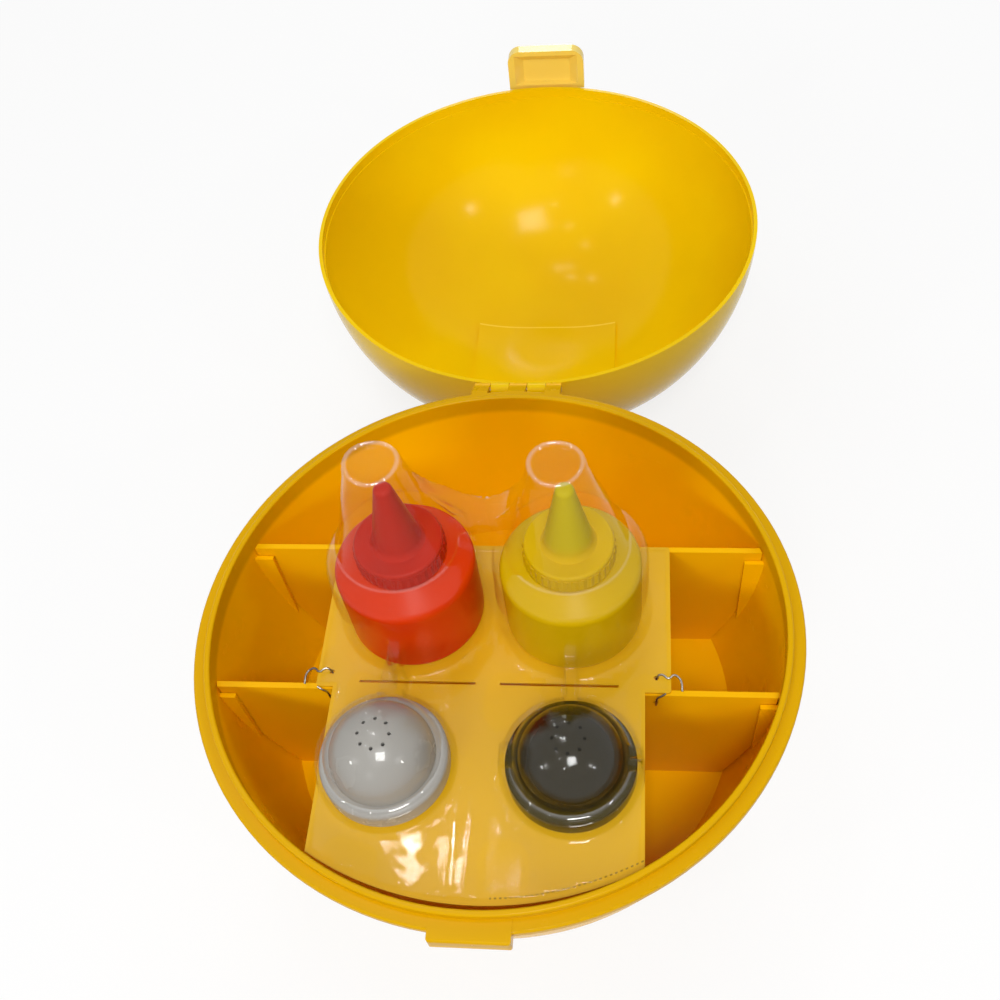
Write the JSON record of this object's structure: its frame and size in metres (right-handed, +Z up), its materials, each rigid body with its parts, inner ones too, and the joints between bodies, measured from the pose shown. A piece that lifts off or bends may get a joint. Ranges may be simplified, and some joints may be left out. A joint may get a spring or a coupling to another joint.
{
  "type": "condiment caddy",
  "caption": "Ball-shaped serving caddy with a hinged domed lid, cross dividers and a clear-covered card of squeeze bottles and dome shakers.",
  "frame": {"origin": "centre of the base's foot, on the table", "axes": "+Z up, +Y towards the lid hinge, +X to the right seen from the front"},
  "size_m": [0.254, 0.5366, 0.2197],
  "materials": {
    "yellow_shell": "glossy moulded plastic",
    "yellow_divider": "satin moulded plastic",
    "yellow_card": "smooth printed card",
    "clear_film": "clear formed film",
    "red_plastic": "satin moulded plastic",
    "lemon_plastic": "satin moulded plastic",
    "white_plastic": "satin moulded plastic",
    "black_plastic": "glossy moulded plastic",
    "steel_wire": "bare wire"
  },
  "bodies": {
    "base": {"base_bowl": "yellow_shell", "rear_divider": "yellow_divider", "front_divider": "yellow_divider", "hinge_pin": "steel_wire", "carrier_card": "yellow_card", "ketchup_bottle": "red_plastic", "mustard_bottle": "lemon_plastic", "salt_base": "white_plastic", "pepper_base": "black_plastic", "clear_cover": "clear_film", "left_tie": "steel_wire", "right_tie": "steel_wire"},
    "lid": {"lid_shell": "yellow_shell", "clasp_pin": "steel_wire"},
    "clasp": {"clasp": "yellow_shell"},
    "ketchup_cap": {"ketchup_cap": "red_plastic"},
    "mustard_cap": {"mustard_cap": "lemon_plastic"},
    "salt_dome": {"salt_dome": "white_plastic"},
    "pepper_dome": {"pepper_dome": "black_plastic"}
  },
  "joints": [
    {"name": "lid_hinge", "type": "hinge", "parent": "base", "child": "lid", "pos_m": [0, 0.136, 0.1163], "axis": [1, 0, 0], "range_deg": [0, 180]},
    {"name": "clasp_pivot", "type": "hinge", "parent": "lid", "child": "clasp", "pos_m": [0, 0.40305, 0.0983], "axis": [-1, 0, 0], "range_deg": [0, 100]},
    {"name": "ketchup_cap_twist", "type": "hinge", "parent": "base", "child": "ketchup_cap", "pos_m": [-0.0341, 0.0083, 0.1227], "axis": [0, 0, 1], "range_deg": [0, 360]},
    {"name": "mustard_cap_twist", "type": "hinge", "parent": "base", "child": "mustard_cap", "pos_m": [0.0323, 0.0083, 0.1227], "axis": [0, 0, 1], "range_deg": [0, 360]},
    {"name": "salt_dome_twist", "type": "hinge", "parent": "base", "child": "salt_dome", "pos_m": [-0.0382, -0.063, 0.1227], "axis": [0, 0, 1], "range_deg": [0, 360]},
    {"name": "pepper_dome_twist", "type": "hinge", "parent": "base", "child": "pepper_dome", "pos_m": [0.034, -0.063, 0.1227], "axis": [0, 0, 1], "range_deg": [0, 360]}
  ]
}
